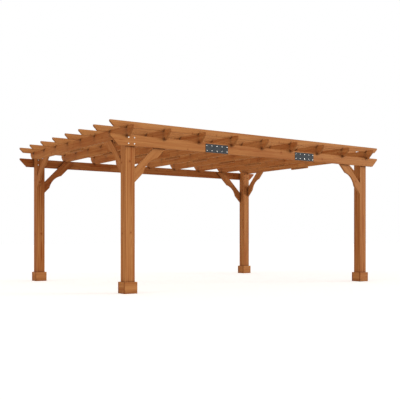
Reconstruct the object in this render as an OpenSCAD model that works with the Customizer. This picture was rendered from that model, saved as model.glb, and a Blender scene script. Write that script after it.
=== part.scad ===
// Garden pergola of planed timber: four posts, a spliced beam on the outer face
// of each row of posts, rafters notched over the beams, purlins notched over
// the rafters and a scalloped knee brace each way at every post.
// X runs along the beams, Y along the rafters, Z up from the ground.
// The origin lies on the ground, midway between the posts.

/* [Posts] */
// Distance between post centres along the beams
post_spacing_x = 4800; // [3600:10:6000]
// Distance between post centres along the rafters
post_spacing_y = 3415; // [2700:10:4300]
// Side of each square post
post_w = 150; // [110:1:190]
// Height from the ground to the underside of the beams
headroom = 2095; // [1700:5:2600]
// Height of the boards round each post's foot
trim_h = 165; // [80:5:300]
// Thickness of those boards
trim_t = 27; // [12:1:40]

/* [Planks] */
// Thickness of the beams, rafters, purlins, braces and splice blocks
plank_t = 38; // [25:1:50]
// Depth of each beam
beam_h = 150; // [110:1:200]
// Depth of each rafter
rafter_h = 150; // [125:1:200]
// Depth of each purlin
purlin_h = 89; // [70:1:140]
// Height of the square nose left at the top of a beam's or purlin's end
nose_h = 25; // [10:1:50]
// Height of the square nose left at the top of a rafter's end
rafter_nose_h = 50; // [20:1:70]
// Slope of the cut below those noses, from level
end_cut_angle = 45; // [35:1:75]
// How far the beams pass the centres of the end posts
beam_overhang = 335; // [250:5:500]
// How far the rafters pass the centres of the posts
rafter_overhang = 250; // [230:5:400]
// How far the purlins pass the centres of the end posts
purlin_overhang = 335; // [200:5:500]

/* [Roof grid] */
// Number of rafters
rafter_count = 9; // [5:1:11]
// How deep each rafter is notched over the beams
seat_depth = 20; // [5:1:40]
// Number of purlins
purlin_count = 8; // [5:1:11]
// How deep each purlin is notched over the rafters
notch_depth = 25; // [5:1:35]
// Room beside a plank in a notch, on each side
notch_gap = 1; // [0.5:0.5:3]

/* [Knee braces] */
// Width of a brace across its grain
brace_w = 140; // [90:1:170]
// Distance from the inner corner to the far end of a brace, along each leg
brace_leg = 510; // [420:5:650]
// Length of the scallop along the outer edge
scallop_chord = 325; // [200:5:400]
// Depth of the scallop at its middle
scallop_depth = 48; // [15:1:60]

/* [Splices] */
// Length of the steel plate over each joint in a beam
plate_l = 424; // [300:2:600]
// Height of that plate
plate_h = 130; // [80:1:138]
// Height of its lower edge above the beam's underside
plate_rise = 1; // [0:1:10]
// Thickness of that plate
plate_t = 3; // [2:0.5:6]
// Length of the timber block beside the joint in each rafter
block_l = 470; // [300:5:600]
// Depth of that block
block_h = 150; // [80:1:180]
// Open joint between two butted lengths
butt_gap = 1; // [0.5:0.5:3]

/* [Hidden] */
// Air left between boards that are nailed up close
fit_gap = 0.3;
// How far a cutting shape runs past the face that it cuts
overcut = 1;
// Facets that a full circle is drawn with
arc_facets = 96;

wood_lit = [0.69, 0.46, 0.28];
wood_roof = [0.66, 0.42, 0.24];
wood_brace = [0.64, 0.40, 0.22];
steel = [0.25, 0.28, 0.31];

// Each corner's name, its side along X and its side along Y.
CORNERS = [
    ["front_left", -1, -1],
    ["front_right", 1, -1],
    ["back_left", -1, 1],
    ["back_right", 1, 1],
];
// Each beam's name and its side along Y.
BEAMS = [["front", -1], ["back", 1]];
// Each length of a beam, counted from the middle one.
LENGTHS = [["left", -1], ["middle", 0], ["right", 1]];
// Each joint between those lengths.
JOINTS = [["left", -1], ["right", 1]];

post_x = post_spacing_x / 2;
post_y = post_spacing_y / 2;
post_half = post_w / 2;
beam_top = headroom + beam_h;
rafter_bottom = beam_top - seat_depth;
rafter_top = rafter_bottom + rafter_h;
purlin_bottom = rafter_top - notch_depth;

beam_y = post_y + post_half + plank_t / 2;
beam_half = post_x + beam_overhang;
beam_third = 2 * beam_half / len(LENGTHS);
joint_x = beam_third / 2;

// The end rafters stand flush with the posts' outer faces.
end_rafter_x = post_x + post_half - plank_t / 2;
rafter_half = post_y + rafter_overhang;
purlin_half = post_x + purlin_overhang;
notch_w = plank_t + 2 * notch_gap;

block_top = purlin_bottom - fit_gap;

brace_leg_inner = brace_leg - brace_w * sqrt(2);
scallop_r = (pow(scallop_chord / 2, 2) + pow(scallop_depth, 2)) / (2 * scallop_depth);

// Rafters and purlins are counted from 1, from the left and from the front.
function spread(i, count, half) = half * (2 * (i - 1) / (count - 1) - 1);
function rafter_x(i) = spread(i, rafter_count, end_rafter_x);
function purlin_y(i) = spread(i, purlin_count, beam_y);

// Width and middle of the notch in a rafter. Those of the end rafters reach
// over the posts as well as over the beams.
function over_posts(i) = i == 1 || i == rafter_count;
function seat_w(i) = notch_w + (over_posts(i) ? post_w : 0);
function seat_y(i) = beam_y - (over_posts(i) ? post_w / 2 : 0);

// Level length of a sloping end cut on a plank of this depth, below its nose.
function cut_run(depth, nose) = (depth - nose) / tan(end_cut_angle);

// Outline of a plank seen from its side, with its bottom on the axis.
module plank_outline(low, high, depth, nose, cut_low, cut_high) {
    low_end = cut_low
        ? [[low + cut_run(depth, nose), 0], [low, depth - nose]]
        : [[low, 0]];
    high_end = cut_high
        ? [[high, depth - nose], [high - cut_run(depth, nose), 0]]
        : [[high, 0]];
    polygon(concat(low_end, [[low, depth], [high, depth]], high_end));
}

// A notch cut up into a plank's outline, to lie over another plank.
module notch(at, depth, width = notch_w) {
    translate([at - width / 2, -overcut])
        square([width, depth + overcut]);
}

// An outline stood upright, to the thickness of a plank, along X or along Y.
module plank_along_x() {
    rotate([90, 0, 0])
        linear_extrude(plank_t, center = true)
            children();
}

module plank_along_y() {
    rotate([90, 0, 90])
        linear_extrude(plank_t, center = true)
            children();
}

module post(c) {
    color(wood_lit)
        translate([c[1] * post_x, c[2] * post_y, beam_top / 2])
            cube([post_w, post_w, beam_top], center = true);
}

// Four boards butted round a post: two run past the ends of the other two.
module foot_trim(c) {
    board_off = post_half + fit_gap + trim_t / 2;
    long_l = 2 * board_off + trim_t;
    short_l = 2 * (board_off - trim_t / 2 - fit_gap);
    color(wood_lit)
        translate([c[1] * post_x, c[2] * post_y, trim_h / 2])
            for (side = [-1, 1]) {
                translate([0, side * board_off, 0])
                    cube([long_l, trim_t, trim_h], center = true);
                translate([side * board_off, 0, 0])
                    cube([trim_t, short_l, trim_h], center = true);
            }
}

// One third of a beam. Its outer end, if it has one, is cut to a slope.
module beam_length(b, l) {
    low = l[1] < 0 ? -beam_half : (l[1] - 0.5) * beam_third + butt_gap / 2;
    high = l[1] > 0 ? beam_half : (l[1] + 0.5) * beam_third - butt_gap / 2;
    color(wood_lit)
        translate([0, b[1] * beam_y, headroom])
            plank_along_x()
                plank_outline(low, high, beam_h, nose_h, l[1] < 0, l[1] > 0);
}

// Steel plate across a joint, on the beam's outer face.
module splice_plate(b, j) {
    plate_y = beam_y + plank_t / 2 + plate_t / 2;
    color(steel)
        translate([j[1] * joint_x, b[1] * plate_y, headroom + plate_rise + plate_h / 2])
            cube([plate_l, plate_t, plate_h], center = true);
}

// A rafter in two lengths, butted at the middle of its span. Each is notched
// from below over a beam.
module rafter(i) {
    color(wood_roof)
        translate([rafter_x(i), 0, rafter_bottom])
            plank_along_y() {
                difference() {
                    plank_outline(-rafter_half, -butt_gap / 2, rafter_h, rafter_nose_h, true, false);
                    notch(-seat_y(i), seat_depth, seat_w(i));
                }
                difference() {
                    plank_outline(butt_gap / 2, rafter_half, rafter_h, rafter_nose_h, false, true);
                    notch(seat_y(i), seat_depth, seat_w(i));
                }
            }
}

// The blocks that carry the rafters' joints, all on the same side of their
// rafters. They stop below the purlins.
module rafter_splice_blocks() {
    color(wood_roof)
        for (i = [1:rafter_count])
            translate([rafter_x(i) + plank_t, 0, block_top - block_h / 2])
                cube([plank_t, block_l, block_h], center = true);
}

// A purlin, notched from below over each rafter.
module purlin(i) {
    color(wood_lit)
        translate([0, purlin_y(i), purlin_bottom])
            plank_along_x()
                difference() {
                    plank_outline(-purlin_half, purlin_half, purlin_h, nose_h, true, true);
                    for (k = [1:rafter_count])
                        notch(rafter_x(k), notch_depth);
                }
}

// Outline of a brace in its inner corner: the post's face is the upright axis,
// what it holds is the level axis, and its top passes that axis by the lap.
module brace_outline(lap) {
    scallop_out = (scallop_r - scallop_depth) / sqrt(2);
    difference() {
        polygon([
            [0, -brace_leg],
            [0, -brace_leg_inner],
            [brace_leg_inner + lap, lap],
            [brace_leg + lap, lap],
        ]);
        translate([brace_leg / 2 + scallop_out, -brace_leg / 2 - scallop_out])
            circle(r = scallop_r, $fn = arc_facets);
    }
}

// Brace from a post up behind its beam, flush with the post's outer face. It
// stops at the undersides of the rafters.
module beam_brace(c) {
    color(wood_brace)
        translate([c[1] * (post_x - post_half), c[2] * (beam_y - plank_t), headroom])
            mirror([c[1] > 0 ? 1 : 0, 0, 0])
                plank_along_x()
                    brace_outline(rafter_bottom - headroom);
}

// Brace from a post up to the end rafter, in that rafter's own plane.
module rafter_brace(c) {
    color(wood_brace)
        translate([c[1] * end_rafter_x, c[2] * (post_y - post_half), rafter_bottom])
            mirror([0, c[2] > 0 ? 1 : 0, 0])
                plank_along_y()
                    brace_outline(0);
}

for (c = CORNERS) post(c);
for (c = CORNERS) foot_trim(c);
for (b = BEAMS) for (l = LENGTHS) beam_length(b, l);
for (b = BEAMS) for (j = JOINTS) splice_plate(b, j);
for (i = [1:rafter_count]) rafter(i);
rafter_splice_blocks();
for (i = [1:purlin_count]) purlin(i);
for (c = CORNERS) beam_brace(c);
for (c = CORNERS) rafter_brace(c);
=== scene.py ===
# %% [markdown]
# # A garden pergola in stained timber
#
# The real thing is a flat-packed garden building: four square posts, a beam of three
# lengths on each long side, rafters notched over the beams, thinner purlins notched over
# the rafters, and a scalloped knee brace each way at every post. Everything is planed
# softwood with one coat of warm brown stain. Black steel plates cover the joints in the
# beams, and bright zinc bolts hold the plates and the posts.
#
# The sawn pieces come ready-made from the CAD frame, so this lesson adds what a saw can't
# give: eased edges, grain, knots, paint and zinc, and all of the fixings.

import math
import random

import bmesh
import bpy
from mathutils import Euler, Matrix, Vector


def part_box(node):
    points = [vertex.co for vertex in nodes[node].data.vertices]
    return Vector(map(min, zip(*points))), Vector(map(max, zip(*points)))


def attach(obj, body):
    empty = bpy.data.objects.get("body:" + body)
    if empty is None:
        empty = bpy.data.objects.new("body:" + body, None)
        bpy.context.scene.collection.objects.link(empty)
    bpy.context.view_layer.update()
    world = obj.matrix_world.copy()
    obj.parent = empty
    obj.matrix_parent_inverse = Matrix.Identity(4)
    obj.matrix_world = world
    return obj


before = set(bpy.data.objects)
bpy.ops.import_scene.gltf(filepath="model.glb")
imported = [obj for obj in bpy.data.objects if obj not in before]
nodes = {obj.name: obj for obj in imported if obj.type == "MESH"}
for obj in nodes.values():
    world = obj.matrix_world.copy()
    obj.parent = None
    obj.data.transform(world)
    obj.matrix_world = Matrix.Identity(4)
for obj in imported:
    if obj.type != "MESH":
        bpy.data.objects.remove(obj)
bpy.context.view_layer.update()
print("timbers and plates from the frame:", len(nodes))

# %% [markdown]
# ## Camera
#
# The pergola is seen from a low stool, a little to the left of its front, with the camera
# held level. A level camera keeps the posts upright in the picture, and the lens is
# shifted up instead of being tilted, as is usual for tall buildings.

# %% Camera
LENS_TURN = math.radians(-34.46)
camera_data = bpy.data.cameras.new("camera")
camera_data.sensor_width = 36.0
camera_data.lens = 60.78
camera_data.shift_y = 0.0938
camera = bpy.data.objects.new("camera", camera_data)
bpy.context.scene.collection.objects.link(camera)
camera.location = (-7.0043, -10.2411, 0.7974)
camera.rotation_euler = (math.radians(90), 0, LENS_TURN)
bpy.context.scene.camera = camera
print("camera height:", round(camera.location.z, 3))

# %% [markdown]
# ## Laying nodes
#
# A material is a net of nodes, and a net written call by call is hard to read. So a small
# helper lays each node and returns its output, and the cells below read like sums. Shared
# effects are node groups with named inputs and outputs: `start_group` builds each one
# once, and `use` places it in every material with that material's own values. Two short
# functions start each material and give its surface relief.


# %% Node helper
class Bench:
    """Lays shader nodes in one tree; each call returns what the new node gives."""

    def __init__(self, tree):
        self.tree = tree

    def put(self, kind, *values, **settings):
        node = self.tree.nodes.new("ShaderNode" + kind)
        for setting, value in settings.items():
            setattr(node, setting, value)
        for socket, value in zip(node.inputs, values):
            self.feed(socket, value)
        return node

    def feed(self, socket, value):
        if isinstance(value, bpy.types.NodeSocket):
            self.tree.links.new(value, socket)
        elif value is not None:
            socket.default_value = value

    def sum(self, operation, *values):
        return self.put("Math", *values, operation=operation).outputs[0]

    def arrow(self, operation, *values):
        return self.put("VectorMath", *values, operation=operation).outputs[0]

    def fade(self, value, low, high, start=0.0, end=1.0):
        """Goes softly from start to end as value goes from low to high."""
        node = self.put(
            "MapRange", value, low, high, start, end, interpolation_type="SMOOTHSTEP"
        )
        return node.outputs[0]

    def noise(self, place, scale, detail=2.0, rough=0.5):
        return self.put("TexNoise", place, None, scale, detail, rough).outputs[0]

    def pick(self, test, no, yes):
        """Gives no where test is 0 and yes where it is 1, for numbers or vectors."""
        flat = not isinstance(no, bpy.types.NodeSocket) or no.type == "VALUE"
        node = self.put("Mix", data_type="FLOAT" if flat else "VECTOR")
        self.feed(node.inputs[0], test)
        self.feed(node.inputs[2 if flat else 4], no)
        self.feed(node.inputs[3 if flat else 5], yes)
        return node.outputs[0 if flat else 1]

    def blend(self, amount, first, second):
        node = self.put("Mix", data_type="RGBA")
        self.feed(node.inputs[0], amount)
        self.feed(node.inputs[6], first)
        self.feed(node.inputs[7], second)
        return node.outputs[2]

    def use(self, group, **values):
        """Places a shared group; an input's name has _ for its spaces."""
        node = self.tree.nodes.new("ShaderNodeGroup")
        node.node_tree = group
        for name, value in values.items():
            self.feed(node.inputs[name.replace("_", " ")], value)
        return node.outputs


KINDS = {"number": "NodeSocketFloat", "vector": "NodeSocketVector", "colour": "NodeSocketColor"}


def start_group(name, inputs, outputs):
    """A new shader group: its bench, the outputs of its way in, and its way out."""
    tree = bpy.data.node_groups.new(name, "ShaderNodeTree")
    for label, kind, value in inputs:
        socket = tree.interface.new_socket(label, in_out="INPUT", socket_type=KINDS[kind])
        socket.default_value = value
    for label, kind in outputs:
        tree.interface.new_socket(label, in_out="OUTPUT", socket_type=KINDS[kind])
    way_in = tree.nodes.new("NodeGroupInput").outputs
    way_out = tree.nodes.new("NodeGroupOutput").inputs
    return Bench(tree), way_in, way_out


print("node kinds a group can pass:", sorted(KINDS))


# %% Material helpers
def start_material(name):
    """A new material, the bench of its tree and its shader."""
    material = bpy.data.materials.new(name)
    material.use_nodes = True
    bench = Bench(material.node_tree)
    return material, bench, bench.tree.nodes["Principled BSDF"]


def add_relief(bench, shader, height, strength, distance):
    """Bumps the surface by height, at most the given distance in metres."""
    bump = bench.put("Bump")
    bump.inputs["Strength"].default_value = strength
    bump.inputs["Distance"].default_value = distance
    bench.feed(bump.inputs["Height"], height)
    bench.feed(shader.inputs["Normal"], bump.outputs[0])


print("helpers ready: start_material, add_relief")

# %% [markdown]
# ## Branch knots
#
# A knot is a branch cut through. Branches leave the heart of the tree, which lies along
# the X axis of each board's own coordinates, so a knot here is a thin rod that starts on
# that axis and goes outwards at a chance angle. The board's faces cut the rod: a face that
# lies across it shows a disc, and a face along it shows a long spike, as in real boards.
# Branches leave a conifer in whorls, so space along the board is divided into cells with
# one whorl of two rods each. The group also gives a swing, by which the growth rings bulge
# where the branches pushed them aside, and a halo, the resin that darkens the wood there.

# %% Branch knots
SECOND_TURN = 1.7
SECOND_LATER = 0.012
ROUGH_RIM = 0.012

knots, given, made = start_group(
    "branch_knots",
    [
        ("Board", "number", 0.0),
        ("Place", "vector", (0, 0, 0)),
        ("Spacing", "number", 0.6),
        ("Radius", "number", 0.011),
        ("Share", "number", 0.6),
        ("Fan", "number", 1.3),
        ("Earliest", "number", 0.3),
        ("Latest", "number", 0.7),
    ],
    [("Knot", "number"), ("Rim", "number"), ("Swing", "number"), ("Halo", "number")],
)
board_x, board_y, board_z = knots.put("SeparateXYZ", given["Place"]).outputs
along = knots.sum("DIVIDE", board_x, given["Spacing"])
cell = knots.sum("FLOOR", along)
chance = knots.put(
    "TexWhiteNoise",
    None,
    knots.sum("ADD", cell, knots.sum("MULTIPLY", given["Board"], 7.31)),
    noise_dimensions="1D",
)
where, way, size = knots.put("SeparateXYZ", chance.outputs["Color"]).outputs
span = knots.sum("SUBTRACT", given["Latest"], given["Earliest"])
middle = knots.sum("MULTIPLY_ADD", where, span, given["Earliest"])
ahead = knots.sum("SUBTRACT", knots.sum("SUBTRACT", along, cell), middle)
ahead = knots.sum("MULTIPLY", ahead, given["Spacing"])
first_angle = knots.sum("MULTIPLY", knots.sum("SUBTRACT", way, 0.5), given["Fan"])


def off_branch(turned, later):
    """How far a point lies from the axis of the branch turned so far round the heart."""
    angle = knots.sum("ADD", first_angle, turned)
    sine = knots.sum("SINE", angle)
    cosine = knots.sum("COSINE", angle)
    outwards = knots.sum("MULTIPLY", board_z, cosine)
    outwards = knots.sum("MULTIPLY_ADD", board_y, sine, outwards)
    aside = knots.sum("MULTIPLY", board_z, sine)
    aside = knots.sum("SUBTRACT", knots.sum("MULTIPLY", board_y, cosine), aside)
    behind = knots.sum("MULTIPLY", knots.sum("MINIMUM", outwards, 0), -3)
    along_it = knots.sum("POWER", knots.sum("ADD", ahead, later), 2)
    across = knots.sum("ADD", along_it, knots.sum("POWER", aside, 2))
    return knots.sum("ADD", knots.sum("SQRT", across), behind)


off = knots.sum("MINIMUM", off_branch(0.0, 0.0), off_branch(SECOND_TURN, SECOND_LATER))
wander = knots.noise(given["Place"], 55.0, 1.0)
off = knots.sum("MULTIPLY_ADD", knots.sum("SUBTRACT", wander, 0.5), ROUGH_RIM, off)
there = knots.sum("LESS_THAN", size, given["Share"])
thick = knots.sum("MULTIPLY_ADD", size, 0.6, 0.55)
thick = knots.sum("MULTIPLY", thick, given["Radius"])
ratio = knots.sum("DIVIDE", off, thick)
disc = knots.sum("SUBTRACT", 1.0, knots.fade(ratio, 0.7, 1.15))
inner = knots.sum("SUBTRACT", 1.0, knots.fade(ratio, 0.5, 0.9))
fall = knots.sum("EXPONENT", knots.sum("MULTIPLY", knots.sum("POWER", ratio, 2), -0.16))
swing = knots.sum("MULTIPLY", knots.sum("MULTIPLY", fall, thick), 1.4)
knots.feed(made["Knot"], knots.sum("MULTIPLY", disc, there))
knots.feed(made["Rim"], knots.sum("MULTIPLY", knots.sum("SUBTRACT", disc, inner), there))
knots.feed(made["Swing"], knots.sum("MULTIPLY", swing, there))
knots.feed(made["Halo"], knots.sum("MULTIPLY", fall, there))
print("nodes in the knots:", len(knots.tree.nodes))

# %% [markdown]
# ## Grain
#
# A picture of wood pasted on a box never runs round its corners. Here the grain fills the
# timber instead: the growth rings are tubes round the heart of the tree, and each face
# shows whatever it cuts, which is straight lines on one face, tongues on the next, and
# curved rings on the sawn ends. Three smaller things go on top: bands where the stain took
# differently, fine fibres along the board, and the dark end of each year's growth.

# %% Grain
RING_WANDER = 0.045

grain, given, made = start_group(
    "grain",
    [
        ("Board", "number", 0.0),
        ("Place", "vector", (0, 0, 0)),
        ("Ring Width", "number", 0.0045),
        ("Band Scale", "number", 26.0),
        ("Swing", "number", 0.0),
    ],
    [("Late Wood", "number"), ("Bands", "number"), ("Fibres", "number")],
)
shift = grain.put("CombineXYZ", 0.73, 0.19, 0.31).outputs[0]
own = grain.arrow("MULTIPLY_ADD", shift, given["Board"], given["Place"])
slow = grain.arrow("MULTIPLY", own, (0.7, 5.0, 5.0))
bend = grain.noise(slow, 1.0, 2.0)
_, place_y, place_z = grain.put("SeparateXYZ", given["Place"]).outputs
radius = grain.sum(
    "SQRT", grain.sum("ADD", grain.sum("POWER", place_y, 2), grain.sum("POWER", place_z, 2))
)
radius = grain.sum("MULTIPLY_ADD", grain.sum("SUBTRACT", bend, 0.5), RING_WANDER, radius)
radius = grain.sum("ADD", radius, given["Swing"])
years = grain.sum("DIVIDE", radius, given["Ring Width"])
season = grain.sum("FRACT", years)
year = grain.sum("FLOOR", years)
late = grain.sum("MULTIPLY", grain.fade(season, 0.35, 0.93), grain.fade(season, 1.0, 0.94))
harvest = grain.put("TexWhiteNoise", None, year, noise_dimensions="1D").outputs["Value"]
late = grain.sum("MULTIPLY", late, grain.sum("MULTIPLY_ADD", harvest, 0.6, 0.4))
grain.feed(made["Late Wood"], late)
stretch = grain.put("CombineXYZ", 0.9, given["Band Scale"], given["Band Scale"]).outputs[0]
grain.feed(made["Bands"], grain.noise(grain.arrow("MULTIPLY", own, stretch), 1.0, 3.0))
grain.feed(made["Fibres"], grain.noise(grain.arrow("MULTIPLY", own, (9, 520, 520)), 1.0, 2.0, 0.6))
print("nodes in the grain:", len(grain.tree.nodes))

# %% [markdown]
# ## Rubbed edges
#
# Stain wears thin first where hands and straps catch the timber: on its corners. A Bevel
# node looks up the normal as if every corner were round, so where that normal differs from
# the true one, a corner is near. Noise breaks the line up, because wear is never even.
# The same group serves the steel plates, with a smaller radius.

# %% Rubbed edges
rubbed, given, made = start_group(
    "rubbed_edges",
    [
        ("Place", "vector", (0, 0, 0)),
        ("Radius", "number", 0.004),
        ("Patch Scale", "number", 30.0),
    ],
    [("Worn", "number")],
)
rounded = rubbed.put("Bevel", given["Radius"], samples=6).outputs[0]
true_normal = rubbed.put("NewGeometry").outputs["Normal"]
same = rubbed.put("VectorMath", rounded, true_normal, operation="DOT_PRODUCT").outputs["Value"]
corner = rubbed.fade(same, 0.995, 0.82)
patches = rubbed.fade(rubbed.noise(given["Place"], given["Patch Scale"], 3.0, 0.6), 0.38, 0.62)
rubbed.feed(made["Worn"], rubbed.sum("MULTIPLY", corner, patches))
print("nodes in the rubbed edges:", len(rubbed.tree.nodes))

# %% [markdown]
# ## Painted corner shade
#
# Where two timbers meet, less light gets into the corner, and this group paints that shade
# into the colour as dark brown. An Ambient Occlusion node measures how much of the space
# in front of a point is open within a few centimetres: all of it on a plain face, half of
# it in a corner, and less in a notch. The mask of painted shade rises as that space closes.

# %% Painted corner shade
joints, given, made = start_group(
    "painted_corner_shade",
    [
        ("Place", "vector", (0, 0, 0)),
        ("Reach", "number", 0.075),
    ],
    [("Corner Shade", "number")],
)
around = joints.put("AmbientOcclusion", None, given["Reach"], samples=6).outputs["AO"]
uneven = joints.sum("SUBTRACT", joints.noise(given["Place"], 35.0, 2.0), 0.5)
around = joints.sum("MULTIPLY_ADD", uneven, 0.25, around)
joints.feed(made["Corner Shade"], joints.fade(around, 0.9, 0.42))
print("nodes in the dark joints:", len(joints.tree.nodes))

# %% [markdown]
# ## Stain
#
# One coat of semi-clear stain turns pale softwood orange-brown. It soaks into soft early
# wood, so the bands between the dark rings take it evenly, and it soaks deepest into the
# sawn ends, which go dark. So the group mixes a pale and a deep shade of the same stain by
# grain, darkens ends and knots, paints shade into the joints, and lets bare wood through
# on rubbed corners. Each board also gets a slightly different strength, since no two boards
# drink alike, and its underside may be painted paler, as painted light reflected up onto it.

# %% Stain
END_BROWN = (0.20, 0.052, 0.010, 1)
KNOT_BROWN = (0.19, 0.052, 0.012, 1)
RIM_BROWN = (0.08, 0.022, 0.007, 1)
BARE_WOOD = (0.62, 0.40, 0.20, 1)
# painted shade: the dark brown laid into corners and beside the rafters' heels
SHADE_BROWN = (0.085, 0.024, 0.007, 1)
EVEN_DEPTH = 0.22
LATE_WOOD_DEPTH = 0.38
FIBRE_DEPTH = 0.45
BOARD_DEPTH = 0.22
HALO_DEPTH = 0.35

stain, given, made = start_group(
    "stain",
    [
        ("Board", "number", 0.0),
        ("Place", "vector", (0, 0, 0)),
        ("Facing", "vector", (0, 0, 1)),
        ("Pale", "colour", (0.5, 0.24, 0.09, 1)),
        ("Deep", "colour", (0.3, 0.1, 0.02, 1)),
        ("Ring Width", "number", 0.0045),
        ("Band Scale", "number", 26.0),
        ("Knot Spacing", "number", 0.6),
        ("Knot Radius", "number", 0.011),
        ("Knot Share", "number", 0.6),
        ("Fan", "number", 1.3),
        ("Earliest", "number", 0.3),
        ("Latest", "number", 0.7),
        ("Strength", "number", 0.0),
        ("Streaks", "number", 1.5),
        ("End Dark", "number", 0.55),
        ("Wear", "number", 0.25),
        ("Joint Dark", "number", 0.8),
        ("Underside", "number", 0.0),
        ("Heel Shadow", "number", 0.0),
    ],
    [("Color", "colour"), ("Roughness", "number"), ("Height", "number")],
)
branch = stain.use(
    knots.tree,
    Board=given["Board"],
    Place=given["Place"],
    Spacing=given["Knot Spacing"],
    Radius=given["Knot Radius"],
    Share=given["Knot Share"],
    Fan=given["Fan"],
    Earliest=given["Earliest"],
    Latest=given["Latest"],
)
wood = stain.use(
    grain.tree,
    Board=given["Board"],
    Place=given["Place"],
    Ring_Width=given["Ring Width"],
    Band_Scale=given["Band Scale"],
    Swing=branch["Swing"],
)
worn = stain.use(rubbed.tree, Place=given["Place"])["Worn"]
drink = stain.put("TexWhiteNoise", None, given["Board"], noise_dimensions="1D").outputs["Value"]
facing_x, facing_y, _ = stain.put("SeparateXYZ", given["Facing"]).outputs
end_grain = stain.fade(stain.sum("ABSOLUTE", facing_x), 0.35, 0.68)
below = stain.fade(facing_y, -0.5, -0.9)
depth = stain.sum("MULTIPLY", wood["Late Wood"], LATE_WOOD_DEPTH)
streaks = stain.sum("MULTIPLY", stain.sum("SUBTRACT", wood["Bands"], 0.5), given["Streaks"])
depth = stain.sum("ADD", depth, streaks)
fibres = stain.sum("SUBTRACT", wood["Fibres"], 0.5)
depth = stain.sum("MULTIPLY_ADD", fibres, FIBRE_DEPTH, depth)
depth = stain.sum("MULTIPLY_ADD", stain.sum("SUBTRACT", drink, 0.5), BOARD_DEPTH, depth)
depth = stain.sum("MULTIPLY_ADD", branch["Halo"], HALO_DEPTH, depth)
# painted light: a negative value makes the faces turned down paler, for light reflected up onto
# them
depth = stain.sum("MULTIPLY_ADD", below, given["Underside"], depth)
# Strength also carries painted shade or light for whole rows of boards
depth = stain.sum("ADD", stain.sum("ADD", depth, EVEN_DEPTH), given["Strength"])
coat = stain.blend(depth, given["Pale"], given["Deep"])
ends = stain.sum("MULTIPLY", end_grain, given["End Dark"])
coat = stain.blend(ends, coat, END_BROWN)
coat = stain.blend(stain.sum("MULTIPLY", branch["Knot"], 0.65), coat, KNOT_BROWN)
coat = stain.blend(stain.sum("MULTIPLY", branch["Rim"], 0.5), coat, RIM_BROWN)
bare = stain.blend(0.55, given["Pale"], BARE_WOOD)
coat = stain.blend(stain.sum("MULTIPLY", worn, given["Wear"]), coat, bare)
# painted shade: corner shade from the AO group and the painted heel shadows darken the stain
painted_shade = stain.use(joints.tree, Place=given["Place"])["Corner Shade"]
painted_shade = stain.sum("MULTIPLY", painted_shade, given["Joint Dark"])
painted_shade = stain.sum("MAXIMUM", painted_shade, given["Heel Shadow"])
stain.feed(made["Color"], stain.blend(painted_shade, coat, SHADE_BROWN))
dull = stain.sum("MULTIPLY_ADD", wood["Late Wood"], -0.14, 0.66)
dull = stain.sum("MULTIPLY_ADD", wood["Fibres"], 0.10, dull)
dull = stain.sum("MULTIPLY_ADD", end_grain, 0.14, dull)
stain.feed(made["Roughness"], dull)
relief = stain.sum("MULTIPLY", wood["Late Wood"], 0.45)
relief = stain.sum("MULTIPLY_ADD", wood["Fibres"], 0.55, relief)
relief = stain.sum("MULTIPLY_ADD", branch["Rim"], -0.5, relief)
stain.feed(made["Height"], relief)
print("nodes in the stain:", len(stain.tree.nodes))

# %% [markdown]
# ## One board, one material
#
# Boards differ, so each CAD node gets its own material: the same stain, with its own board
# number, heart and knots. The grain has to run along the board, so a Mapping node carries
# Object coordinates into the board's own axes: X along the grain, Y across its width and Z
# through its thickness. Its location is the heart of the tree. Planks are sawn some way
# off the heart, and posts are boxed round it.
#
# A node may hold several boards, such as the two halves of a rafter. They can't share one
# grain, so a board number is worked out from where the board lies. The function that does
# so may also turn the coordinates, for boards that lie across the others.

# %% Board material
PALE = (0.512, 0.222, 0.072, 1)
DEEP = (0.290, 0.068, 0.010, 1)
SHEEN = 0.10
luck = random.Random(11)


def board_material(name, middle, turn, heart_depth, split=None, pool=None, **values):
    """Stained timber with its grain along turn's X axis, and with boards told by split."""
    material, bench, shader = start_material(name)
    turn = Euler([math.radians(angle) for angle in turn])
    off_heart = Vector((0, luck.uniform(-0.03, 0.03), -heart_depth))
    heart = Vector(middle) + turn.to_matrix() @ off_heart
    coordinates = bench.put("TexCoord").outputs
    place = coordinates["Object"]
    facing = coordinates["Normal"]
    board = round(luck.uniform(1, 40), 2)
    if split:
        number, place, facing = split(bench, place, facing)
        board = bench.sum("ADD", number, board)
    place = bench.put("Mapping", place, vector_type="TEXTURE")
    place.inputs["Location"].default_value = heart
    place.inputs["Rotation"].default_value = turn
    facing = bench.put("Mapping", facing, vector_type="TEXTURE")
    facing.inputs["Rotation"].default_value = turn
    # painted shadow: the dark patches by the rafters' heels
    if pool:
        values["Heel Shadow"] = pool(bench, coordinates["Object"])
    coat = bench.use(
        stain.tree,
        Board=board,
        Place=place.outputs[0],
        Facing=facing.outputs[0],
        Pale=PALE,
        Deep=DEEP,
        **values,
    )
    bench.feed(shader.inputs["Base Color"], coat["Color"])
    bench.feed(shader.inputs["Roughness"], coat["Roughness"])
    shader.inputs["Specular IOR Level"].default_value = SHEEN
    add_relief(bench, shader, coat["Height"], 0.5, 0.0012)
    return material


print("stain, pale and deep:", PALE[:3], DEEP[:3])

# %% [markdown]
# ## Eased edges
#
# Planed timber leaves the mill with its long edges rounded by about three millimetres.
# The CAD solids are sharp, and their meshes must stay as they are, so live modifiers ease
# the edges: Weld joins the loose triangles, a planar Decimate turns them into whole faces,
# and Bevel rounds every corner that is sharper than a scallop's facets.

# %% Eased edges
EASING = 0.003


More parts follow.
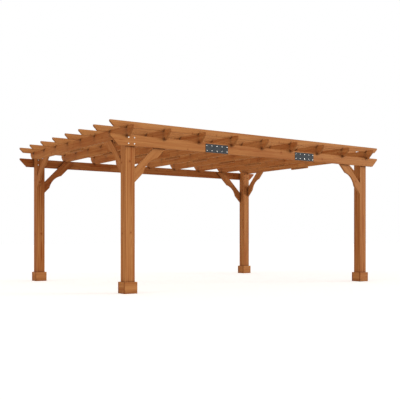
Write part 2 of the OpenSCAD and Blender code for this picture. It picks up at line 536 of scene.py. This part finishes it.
def ease(piece, radius):
    weld = piece.modifiers.new("weld", "WELD")
    weld.merge_threshold = 0.00002
    whole = piece.modifiers.new("whole_faces", "DECIMATE")
    whole.decimate_type = "DISSOLVE"
    whole.angle_limit = math.radians(0.5)
    eased = piece.modifiers.new("eased_edges", "BEVEL")
    eased.width = radius
    eased.segments = 2
    eased.limit_method = "ANGLE"
    eased.angle_limit = math.radians(25)
    eased.use_clamp_overlap = True


def finish_board(node, turn, heart_depth, radius=EASING, **values):
    """Eases a CAD timber's edges and gives it a grain of its own."""
    piece = nodes[node]
    low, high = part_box(node)
    material = board_material(node, (low + high) / 2, turn, heart_depth, **values)
    piece.material_slots[0].material = material
    ease(piece, radius)


print("edges eased by, mm:", EASING * 1000)

# %% [markdown]
# ## Posts
#
# The posts are 150 mm square, boxed round the heart, so all four faces show growth rings
# nearly straight and the knots come out on every side. Grain runs upwards: a turn of -90
# degrees about Y takes the board's X axis to the world's Z.

# %% Posts
CORNERS = ["front_left", "front_right", "back_left", "back_right"]
# painted shade: the back posts stand in the roof's shade and get a deeper stain for it
POST_STAIN_AND_SHADE = {"front": 0.02, "back": 0.16}

for corner in CORNERS:
    finish_board(
        "post_" + corner,
        (0, -90, 0),
        0.018,
        Ring_Width=0.0052,
        Knot_Spacing=1.0,
        Knot_Radius=0.010,
        Knot_Share=0.8,
        Fan=6.28,
        Earliest=0.73,
        Latest=0.77,
        Streaks=2.3,
        Band_Scale=58.0,
        Strength=POST_STAIN_AND_SHADE[corner.split("_")[0]],
    )
print("posts finished:", len(CORNERS))

# %% [markdown]
# ## Boards round the feet
#
# Each post stands in a box of four short boards whose grain runs level, round the post. So
# two boards need the grain along X and two along Y. All four share one material: a board
# is told by which side of the post it lies on, and for the two side boards X and Y change
# places before the mapping, both in the coordinates and in the normal.

# %% Boards round the feet
post_half = (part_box("post_front_left")[1].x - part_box("post_front_left")[0].x) / 2


def foot_boards(middle):
    """Splits a foot into its four boards, and turns the grain of the two side boards."""

    def split(bench, place, facing):
        x, y, z = bench.put("SeparateXYZ", bench.arrow("SUBTRACT", place, middle)).outputs
        long_board = bench.sum("GREATER_THAN", bench.sum("ABSOLUTE", y), post_half)
        number = bench.sum("MULTIPLY", bench.sum("SIGN", x), 2.3)
        number = bench.pick(long_board, number, bench.sum("SIGN", y))
        straight = bench.put("CombineXYZ", x, y, z).outputs[0]
        swapped = bench.put("CombineXYZ", y, x, z).outputs[0]
        place = bench.arrow("ADD", bench.pick(long_board, swapped, straight), middle)
        x, y, z = bench.put("SeparateXYZ", facing).outputs
        swapped = bench.put("CombineXYZ", y, x, z).outputs[0]
        return number, place, bench.pick(long_board, swapped, facing)

    return split


for corner in CORNERS:
    node = "foot_trim_" + corner
    low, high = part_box(node)
    finish_board(
        node,
        (90, 0, 0),
        0.11,
        split=foot_boards((low + high) / 2),
        Knot_Spacing=0.19,
        Knot_Radius=0.010,
        Knot_Share=0.2,
        Joint_Dark=0.4,
    )
print("boxed feet finished:", len(CORNERS))

# %% [markdown]
# ## Beams and purlins
#
# Both run along X and stand on edge, so their width is upright and their thickness is
# along Y: a turn of 90 degrees about X. The beams' three lengths came from three boards.
# The back beam, which stands in the roof's shade, is given a deeper stain as painted shade,
# and the purlins a paler one as painted light.
#
# Each rafter's lowest point, the heel that hangs just outside the beam, casts a small
# shadow on the beam's face, and that shadow is painted into the beam's colour as a dark
# patch beside every heel.

# %% Beams and purlins
LEVEL_X = (90, 0, 0)
ROW_STAIN_LIGHT_AND_SHADE = {"back_beam": 0.32, "front_beam": 0.11, "purlin": -0.12}
SHADOW_EDGE = 0.042
SHADOW_CORE = 0.008
SHADOW_DARK = 0.68
SHADOW_LEFT = 0.022
SHADOW_UNDER = 0.008

beams = [name for name in nodes if "_beam_" in name]
purlins = [name for name in nodes if name.startswith("purlin_")]
rafter_pitch = (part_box("rafter_2")[0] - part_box("rafter_1")[0]).x
heel_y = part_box("back_beam_middle")[1].y + 0.010
heel_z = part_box("rafter_1")[0].z + 0.010


def shadow_spot(bench, aside, above):
    """A painted shadow that fades out about forty millimetres from its middle."""
    away = bench.sum("ADD", bench.sum("POWER", aside, 2), bench.sum("POWER", above, 2))
    return bench.fade(bench.sum("SQRT", away), SHADOW_EDGE, SHADOW_CORE, 0.0, SHADOW_DARK)


def shadow_beside_heels(bench, place):
    """Painted shadow spots to the left of each rafter's middle, and a little under its heel."""
    x, _, z = bench.put("SeparateXYZ", place).outputs
    nearest = bench.sum("ROUND", bench.sum("DIVIDE", x, rafter_pitch))
    aside = bench.sum("MULTIPLY_ADD", nearest, -rafter_pitch, x)
    aside = bench.sum("ADD", aside, SHADOW_LEFT)
    return shadow_spot(bench, aside, bench.sum("SUBTRACT", z, heel_z - SHADOW_UNDER))


for name in sorted(beams) + sorted(purlins):
    row = next(row for row in ROW_STAIN_LIGHT_AND_SHADE if name.startswith(row))
    finish_board(
        name,
        LEVEL_X,
        luck.uniform(0.06, 0.12),
        Knot_Spacing=luck.uniform(0.5, 0.8),
        Knot_Share=0.45,
        pool=None if row == "purlin" else shadow_beside_heels,
        Strength=ROW_STAIN_LIGHT_AND_SHADE[row],
    )
print("beams:", len(beams), "purlins:", len(purlins))

# %% [markdown]
# ## Rafters and their splice blocks
#
# Rafters run along Y, so the turn has a second quarter about Z. Each is two boards that
# meet at the middle of the span, and the sign of Y tells them apart. The nine blocks share
# one node, and each block's number is its place in the row of rafters.
#
# The heel of a rafter is in that shade too, so each gets the same painted shadow, found by
# its distance from the line on which every heel lies.

# %% Rafters and blocks
LEVEL_Y = (90, 0, 90)
rafters = [name for name in nodes if name.startswith("rafter_") and name[7:].isdigit()]


def halves(bench, place, facing):
    y = bench.put("SeparateXYZ", place).outputs[1]
    return bench.sum("MULTIPLY", bench.sum("SIGN", y), 1.7), place, facing


def row_blocks(bench, place, facing):
    x = bench.put("SeparateXYZ", place).outputs[0]
    return bench.sum("ROUND", bench.sum("DIVIDE", x, rafter_pitch)), place, facing


# painted shade on each rafter's heel
def shadow_on_heels(bench, place):
    _, y, z = bench.put("SeparateXYZ", place).outputs
    out = bench.sum("SUBTRACT", bench.sum("ABSOLUTE", y), heel_y)
    return shadow_spot(bench, out, bench.sum("SUBTRACT", z, heel_z))


for name in sorted(rafters):
    finish_board(
        name,
        LEVEL_Y,
        luck.uniform(0.06, 0.12),
        split=halves,
        pool=shadow_on_heels,
        Knot_Spacing=luck.uniform(0.5, 0.8),
        Knot_Share=0.45,
        # painted shade: a deeper stain for the shade among the rafters under the roof
        Strength=0.15,
        # painted light: the rafters' undersides are made paler
        Underside=-0.9,
    )
finish_board(
    "rafter_splice_blocks",
    LEVEL_Y,
    0.09,
    split=row_blocks,
    Knot_Spacing=0.33,
    Knot_Share=0.3,
    Strength=-0.12,
    End_Dark=0.1,
    Joint_Dark=0.0,
)
print("rafters:", len(rafters), "spaced, mm:", round(rafter_pitch * 1000, 1))

# %% [markdown]
# ## Knee braces
#
# A brace is strongest with its grain straight from post to beam, so its board lies at 45
# degrees, and the scallop is sawn across the grain. The turn stands the board on edge,
# tips it by 45 or 135 degrees, and for the braces under the rafters swings it towards Y.

# %% Knee braces
BEAM_BRACES = {"front_left": -0.14, "front_right": 0.04, "back_left": 0.28, "back_right": 0.24}
RAFTER_BRACES = {"front_left": 0.12, "front_right": -0.15, "back_left": 0.2, "back_right": 0.1}
for corner in CORNERS:
    tip = -45 if "left" in corner else -135
    swing = 90 if "front" in corner else -90
    for kind, turn, strengths in (
        ("beam_brace_", (90, tip, 0), BEAM_BRACES),
        ("rafter_brace_", (90, -45, swing), RAFTER_BRACES),
    ):
        finish_board(
            kind + corner,
            turn,
            0.08,
            Knot_Spacing=0.4,
            Knot_Share=0.3,
            Strength=strengths[corner],
        )
print("braces finished:", 2 * len(CORNERS))

# %% [markdown]
# ## Black steel plates
#
# The splice plates are mild steel with a black powder coat. Powder melts into a skin with
# a faint orange-peel ripple, so the bump is a fine, soft noise. A little grey dust lies on
# it in clouds, and the coat has rubbed thin along the edges.

# %% Steel plates
PLATE_EASING = 0.0008

steel, bench, shader = start_material("black_powder_coat")
place = bench.put("TexCoord").outputs["Object"]
clouds = bench.fade(bench.noise(place, 16.0, 4.0, 0.6), 0.35, 0.7)
coat = bench.blend(clouds, (0.041, 0.047, 0.054, 1), (0.070, 0.078, 0.087, 1))
worn = bench.use(rubbed.tree, Place=place, Radius=0.002, Patch_Scale=60.0)["Worn"]
coat = bench.blend(bench.sum("MULTIPLY", worn, 0.6), coat, (0.12, 0.13, 0.14, 1))
bench.feed(shader.inputs["Base Color"], coat)
bench.feed(shader.inputs["Roughness"], bench.sum("MULTIPLY_ADD", clouds, 0.15, 0.55))
shader.inputs["Specular IOR Level"].default_value = 0.1
add_relief(bench, shader, bench.noise(place, 420.0, 2.0), 0.25, 0.0004)
plates = sorted(name for name in nodes if "splice_plate" in name)
for name in plates:
    nodes[name].material_slots[0].material = steel
    ease(nodes[name], PLATE_EASING)
print("plates:", plates)

# %% [markdown]
# ## Zinc
#
# Bolts, nuts and washers are bright zinc. Zinc plating is not a mirror: it has a fine
# satin grain, and it goes a little grey in patches as it ages. Metallic is 1 everywhere,
# so all of the look is in the colour and the roughness.

# %% Zinc
zinc, bench, shader = start_material("bright_zinc")
place = bench.put("TexCoord").outputs["Object"]
patches = bench.fade(bench.noise(place, 120.0, 3.0, 0.6), 0.4, 0.7)
plating = bench.blend(patches, (0.80, 0.76, 0.70, 1), (0.58, 0.55, 0.51, 1))
bench.feed(shader.inputs["Base Color"], plating)
shader.inputs["Metallic"].default_value = 1.0
bench.feed(shader.inputs["Roughness"], bench.sum("MULTIPLY_ADD", patches, 0.22, 0.42))
add_relief(bench, shader, bench.noise(place, 1500.0, 2.0), 0.15, 0.0002)
print("zinc nodes:", len(zinc.node_tree.nodes))

# %% [markdown]
# ## Zinc painted dull
#
# Most of the bolts and nuts show no glint of zinc, so they get a dull brown copy of the
# zinc instead: painted shade, with a little bare zinc showing through in patches.

# %% Zinc painted dull
shaded_zinc, bench, shader = start_material("shaded_zinc_copy")
place = bench.put("TexCoord").outputs["Object"]
bare_zinc = bench.fade(bench.noise(place, 160.0, 3.0, 0.6), 0.52, 0.70)
shade_coat = bench.blend(bare_zinc, (0.38, 0.150, 0.046, 1), (0.46, 0.29, 0.17, 1))
bench.feed(shader.inputs["Base Color"], shade_coat)
bench.feed(shader.inputs["Metallic"], bench.sum("MULTIPLY", bare_zinc, 0.7))
bench.feed(shader.inputs["Roughness"], bench.sum("MULTIPLY_ADD", bare_zinc, -0.12, 0.62))
shader.inputs["Specular IOR Level"].default_value = 0.2
add_relief(bench, shader, bench.noise(place, 700.0, 2.0), 0.3, 0.0003)
print("stained zinc nodes:", len(shaded_zinc.node_tree.nodes))

# %% [markdown]
# ## Modelling by operators
#
# The fixings are modelled as by hand: a primitive is added, faces are picked, and extrude,
# inset and scale shape it. An operator acts on all that is selected, and a freshly loaded
# frame is selected all over, so everything is let go first. Faces are picked in code, by
# where they are and which way they face.


# %% Modelling helpers
def add_prism(sides, radius, low, high):
    """An upright prism between two heights, left in edit mode with its top face picked."""
    bpy.ops.object.select_all(action="DESELECT")
    bpy.ops.mesh.primitive_cylinder_add(
        vertices=sides, radius=radius, depth=high - low, location=(0, 0, (high + low) / 2)
    )
    bpy.ops.object.transform_apply(location=True, rotation=True, scale=True)
    bpy.ops.object.mode_set(mode="EDIT")
    bpy.ops.mesh.select_mode(type="FACE")
    piece = bpy.context.object
    pick_faces(piece, lambda middle, normal: normal.z > 0.9)
    return piece


def pick_faces(piece, test):
    mesh = bmesh.from_edit_mesh(piece.data)
    bpy.ops.mesh.select_all(action="DESELECT")
    for face in mesh.faces:
        face.select = test(face.calc_center_median(), face.normal)
    mesh.select_flush_mode()
    bmesh.update_edit_mesh(piece.data)


def raise_top(height, scale):
    """Extrudes the picked face along Z and scales it, which leaves a sloping rim."""
    bpy.ops.mesh.extrude_region_move(TRANSFORM_OT_translate={"value": (0, 0, height)})
    bpy.ops.transform.resize(value=(scale, scale, 1))


def join_parts(name, parts):
    """Joins the parts into one pattern piece."""
    bpy.ops.object.select_all(action="DESELECT")
    for part in parts:
        part.select_set(True)
    bpy.context.view_layer.objects.active = parts[0]
    if len(parts) > 1:
        bpy.ops.object.join()
    parts[0].name = name
    print(name, "faces:", len(parts[0].data.polygons))
    return parts[0]


def leave_edit():
    bpy.ops.object.mode_set(mode="OBJECT")


print("prism, face picking, top raising and joining ready")

# %% [markdown]
# ## Bolt, nut and screw patterns
#
# The plates are held by hexagon screws of 8 mm thread, 13 mm across the flats of the head.
# The head's corners are chamfered, which is what makes it look turned and not cut from a
# bar: the top face is extruded by the chamfer's height and scaled down. The posts have coach
# bolts, whose low domed head is a row of extruded, shrinking rings. The nut sits on a
# washer, with the end of the thread standing out of it. Timber screws have a low head with
# a recess for the driver, made by an inset and an extrude downwards. Each pattern stands
# with its head up and its foot sunk about half a millimetre, so that no light shows under
# it, and copies are turned to their places later.

# %% Hexagon screw pattern
HEX_RADIUS = 0.013 / math.sqrt(3)
SUNK = 0.0005

head = add_prism(6, HEX_RADIUS, -SUNK, 0.0052)
raise_top(0.0012, 0.86)
bpy.ops.mesh.inset(thickness=0.0022, depth=-0.0003)
leave_edit()
hex_pattern = join_parts("hex_screw_pattern", [head])

# %% Coach bolt pattern
COACH_RADIUS = 0.0105
DOME = ((0.0012, 0.93), (0.0011, 0.84), (0.0009, 0.70), (0.0006, 0.45))

dome = add_prism(20, COACH_RADIUS, -SUNK, 0.0008)
for rise, shrink in DOME:
    raise_top(rise, shrink)
leave_edit()
bpy.ops.object.shade_smooth_by_angle(angle=math.radians(40))
coach_pattern = join_parts("coach_bolt_pattern", [dome])

# %% Nut pattern
WASHER = 0.012
WASHER_HIGH = 0.002

washer = add_prism(20, WASHER, -SUNK, WASHER_HIGH - 0.0006)
raise_top(0.0006, 0.94)
leave_edit()
nut = add_prism(6, HEX_RADIUS * 1.2, WASHER_HIGH - 0.0003, WASHER_HIGH + 0.0072)
raise_top(0.0012, 0.86)
leave_edit()
thread = add_prism(12, 0.004, WASHER_HIGH, WASHER_HIGH + 0.0125)
raise_top(0.0010, 0.78)
leave_edit()
nut_pattern = join_parts("nut_pattern", [washer, nut, thread])

# %% Screw pattern
screw = add_prism(12, 0.0042, -0.0006, 0.0007)
raise_top(0.0005, 0.90)
raise_top(0.0003, 0.80)
bpy.ops.mesh.inset(thickness=0.0011, depth=0)
bpy.ops.mesh.extrude_region_move(TRANSFORM_OT_translate={"value": (0, 0, -0.0011)})
bpy.ops.transform.resize(value=(0.8, 0.8, 1))
leave_edit()
screw_pattern = join_parts("screw_pattern", [screw])

# %% [markdown]
# ## Setting the fixings out
#
# Each pattern is copied to its places with a mesh of its own, turned so that its head
# points away from the timber, and given a chance twist, because nobody lines bolt heads
# up. The copies at one joint row are joined into one piece, and applying the transform
# leaves that piece at the origin, with its place in its mesh.


# %% Setting out
def set_out(pattern, name, places, material):
    """One piece of copies of pattern, at each (point, outward direction)."""
    bpy.ops.object.select_all(action="DESELECT")
    for point, outward in places:
        copy = pattern.copy()
        copy.data = pattern.data.copy()
        bpy.context.scene.collection.objects.link(copy)
        turn = Vector(outward).to_track_quat("Z", "Y").to_matrix().to_4x4()
        twist = Matrix.Rotation(luck.uniform(0, math.tau), 4, "Z")
        copy.matrix_world = Matrix.Translation(point) @ turn @ twist
        copy.select_set(True)
        bpy.context.view_layer.objects.active = copy
    bpy.ops.object.join()
    bpy.ops.object.transform_apply(location=True, rotation=True, scale=True)
    piece = bpy.context.object
    piece.name = name
    piece.data.name = name
    piece.data.materials.clear()
    piece.data.materials.append(material)
    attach(piece, "root")
    print(name, "copies:", len(places))


print("chance twists drawn from the same seed as the boards")

# %% [markdown]
# ## Bolts through the plates and the posts
#
# Each plate has two rows of five hexagon screws, which stop inside the beam. Each post has
# four coach bolts in a square, through the beam and the post, with their washers and nuts
# on the post's inner face. Positions come from the boxes of the CAD nodes. The heads on the
# front left post and the nuts on both left posts are bright zinc; the rest get the dull
# brown copy of the zinc, as painted shade.

# %% Plate and post bolts
PLATE_PITCH = 0.0955
PLATE_ROW = 0.0375
POST_PITCH = (0.047, 0.044)

for side, out in (("front", -1), ("back", 1)):
    beam_low, beam_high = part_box(side + "_beam_middle")
    beam_out = beam_low.y if out < 0 else beam_high.y
    beam_mid = (beam_low.z + beam_high.z) / 2
    plate_heads = []
    post_heads = {"left": [], "right": []}
    nuts = {"left": [], "right": []}
    for plate in (side + "_splice_plate_left", side + "_splice_plate_right"):
        low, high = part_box(plate)
        face = low.y if out < 0 else high.y
        for step in range(-2, 3):
            for row in (-1, 1):
                x = (low.x + high.x) / 2 + step * PLATE_PITCH
                z = (low.z + high.z) / 2 + row * PLATE_ROW
                plate_heads.append(((x, face, z), (0, out, 0)))
    for end in post_heads:
        low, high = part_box("post_" + side + "_" + end)
        inner = high.y if out < 0 else low.y
        for step in (-1, 1):
            for row in (-1, 1):
                x = (low.x + high.x) / 2 + step * POST_PITCH[0]
                z = beam_mid + row * POST_PITCH[1]
                post_heads[end].append(((x, beam_out, z), (0, out, 0)))
                nuts[end].append(((x, inner, z), (0, -out, 0)))
    set_out(hex_pattern, side + "_plate_screws", plate_heads, zinc)
    for end, heads in post_heads.items():
        # painted shade: heads and nuts without a glint get the dull brown zinc copy
        glinting = side == "front" and end == "left"
        set_out(coach_pattern, side + "_bolts_" + end, heads, zinc if glinting else shaded_zinc)
        glinting = end == "left"
        set_out(nut_pattern, side + "_nuts_" + end, nuts[end], zinc if glinting else shaded_zinc)

# %% [markdown]
# ## Screws
#
# Everything else is screwed. The screws are coated bronze brown so that they vanish in the
# stain: two at each end of a foot's long boards and two in the middle of its short ones,
# six through each splice block, one slanting through the back of each purlin into each
# rafter, one through each rafter into each beam, and four in each brace.

# %% Screw finish
bronze, bench, shader = start_material("bronze_screw_coat")
place = bench.put("TexCoord").outputs["Object"]
patches = bench.fade(bench.noise(place, 300.0, 3.0, 0.6), 0.35, 0.7)
coating = bench.blend(patches, (0.115, 0.062, 0.028, 1), (0.21, 0.115, 0.05, 1))
bench.feed(shader.inputs["Base Color"], coating)
shader.inputs["Metallic"].default_value = 0.6
bench.feed(shader.inputs["Roughness"], bench.sum("MULTIPLY_ADD", patches, 0.2, 0.4))
print("bronze nodes:", len(bronze.node_tree.nodes))

# %% Screws in the feet
FOOT_SIDE_GAP = 0.016
FOOT_EDGE_GAP = 0.035

places = []
for corner in CORNERS:
    low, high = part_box("foot_trim_" + corner)
    middle = (low + high) / 2
    for x in (low.x + FOOT_SIDE_GAP, high.x - FOOT_SIDE_GAP):
        for z in (low.z + FOOT_EDGE_GAP, high.z - FOOT_EDGE_GAP):
            places.append(((x, low.y, z), (0, -1, 0)))
            places.append(((x, high.y, z), (0, 1, 0)))
    for z in (low.z + FOOT_EDGE_GAP, high.z - FOOT_EDGE_GAP):
        places.append(((low.x, middle.y, z), (-1, 0, 0)))
        places.append(((high.x, middle.y, z), (1, 0, 0)))
set_out(screw_pattern, "foot_screws", places, bronze)

# %% Screws in the roof
BLOCK_SCREWS = {-0.19: 0.08, -0.09: 0.02, -0.03: 0.08, 0.03: 0.08, 0.09: 0.02, 0.19: 0.08}
HEEL_SCREW_RISE = 0.045
PURLIN_SCREW_DROP = 0.022

places = []
for name in rafters:
    low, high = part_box(name)
    block_face = high.x + (high.x - low.x)
    for y, rise in BLOCK_SCREWS.items():
        places.append(((block_face, y, low.z + rise), (1, 0, 0)))
    for side in ("front_beam_middle", "back_beam_middle"):
        beam_low, beam_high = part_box(side)
        y = (beam_low.y + beam_high.y) / 2
        places.append(((high.x, y, low.z + HEEL_SCREW_RISE), (1, 0, 0.35)))
    for purlin in purlins:
        purlin_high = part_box(purlin)[1]
        x = (low.x + high.x) / 2
        z = purlin_high.z - PURLIN_SCREW_DROP
        places.append(((x, purlin_high.y, z), (0, 1, 0.3)))
set_out(screw_pattern, "roof_screws", places, bronze)

# %% Screws in the braces
NEAR_END = 0.035
BRACE_PAIR = 0.045
BRACE_WIDTH = 0.14
BRACE_MIDDLE = BRACE_WIDTH / math.sqrt(2) + NEAR_END

places = []
for corner in CORNERS:
    for kind, run, aside in (("beam_brace_", 0, 1), ("rafter_brace_", 1, 0)):
        low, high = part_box(kind + corner)
        inwards = [-1 if side > 0 else 1 for side in (low + high) / 2]
        foot = low[run] if inwards[run] > 0 else high[run]
        tip = high[run] if inwards[run] > 0 else low[run]
        for pair in (-BRACE_PAIR, BRACE_PAIR):
            at_foot = [0, 0, low.z + BRACE_MIDDLE + pair]
            at_foot[run] = foot + inwards[run] * NEAR_END
            at_top = [0, 0, high.z - NEAR_END]
            at_top[run] = tip - inwards[run] * (BRACE_MIDDLE + pair)
            for point in (at_foot, at_top):
                point[aside] = high[aside] if inwards[aside] > 0 else low[aside]
                outward = [0, 0, 0]
                outward[aside] = inwards[aside]
                places.append((tuple(point), tuple(outward)))
set_out(screw_pattern, "brace_screws", places, bronze)

# %% [markdown]
# ## Clearing the bench
#
# The patterns themselves were only copied from, so they are thrown away.

# %% Clearing the bench
for pattern in (hex_pattern, coach_pattern, nut_pattern, screw_pattern):
    bpy.data.objects.remove(pattern)

# %% [markdown]
# ## Floor and light
#
# The pergola stands on a plain pale floor in soft studio light: a wide, low key lamp from
# the front right, a weak warm fill from the left, and an even, slightly warm sky. The
# camera's own rays see the floor and the sky a little brighter than they light the timber,
# so the backdrop is white while the colours stay as they are written, and the floor still
# shows the pergola's soft shadow.

# %% Floor
FLOOR_GLOW = 0.45

bpy.ops.object.select_all(action="DESELECT")
bpy.ops.mesh.primitive_plane_add(size=120, location=(0, 0, 0))
floor = bpy.context.object
floor.name = "floor"
pale, bench, shader = start_material("pale_floor")
shader.inputs["Base Color"].default_value = (0.85, 0.85, 0.85, 1)
shader.inputs["Roughness"].default_value = 0.9
shader.inputs["Specular IOR Level"].default_value = 0.0
shader.inputs["Emission Color"].default_value = (1, 1, 1, 1)
rays = bench.put("LightPath").outputs
glow = bench.sum("MULTIPLY", rays["Is Camera Ray"], FLOOR_GLOW)
bench.feed(shader.inputs["Emission Strength"], glow)
floor.data.materials.append(pale)

# %% Sky and lamps
SKY_LIGHT = 0.61
SKY_SEEN = 1.0

world = bpy.data.worlds.new("sky")
bpy.context.scene.world = world
world.use_nodes = True
bench = Bench(world.node_tree)
background = bench.tree.nodes["Background"]
rays = bench.put("LightPath").outputs
seen = bench.sum("MAXIMUM", rays["Is Camera Ray"], rays["Is Glossy Ray"])
seen = bench.sum("MAXIMUM", seen, rays["Is Transmission Ray"])
bench.feed(background.inputs["Strength"], bench.fade(seen, 0.0, 1.0, SKY_LIGHT, SKY_SEEN))
lit = bench.blend(seen, (1.0, 0.94, 0.88, 1), (1, 1, 1, 1))
bench.feed(background.inputs["Color"], lit)


def add_sun(name, energy, colour, towards):
    lamp = bpy.data.lights.new(name, "SUN")
    lamp.energy = energy
    lamp.color = colour
    lamp.angle = math.radians(20)
    sun = bpy.data.objects.new(name, lamp)
    bpy.context.scene.collection.objects.link(sun)
    sun.rotation_euler = Vector(towards).to_track_quat("Z", "Y").to_euler()
    print(name, "lamp energy:", energy)


add_sun("key", 2.0, (0.98, 1.0, 1.0), (0.86, -0.50, 0.14))
add_sun("fill", 0.54, (1.0, 0.88, 0.72), (-0.87, 0.0, 0.50))

# %% View settings
bpy.context.scene.view_settings.view_transform = "Standard"
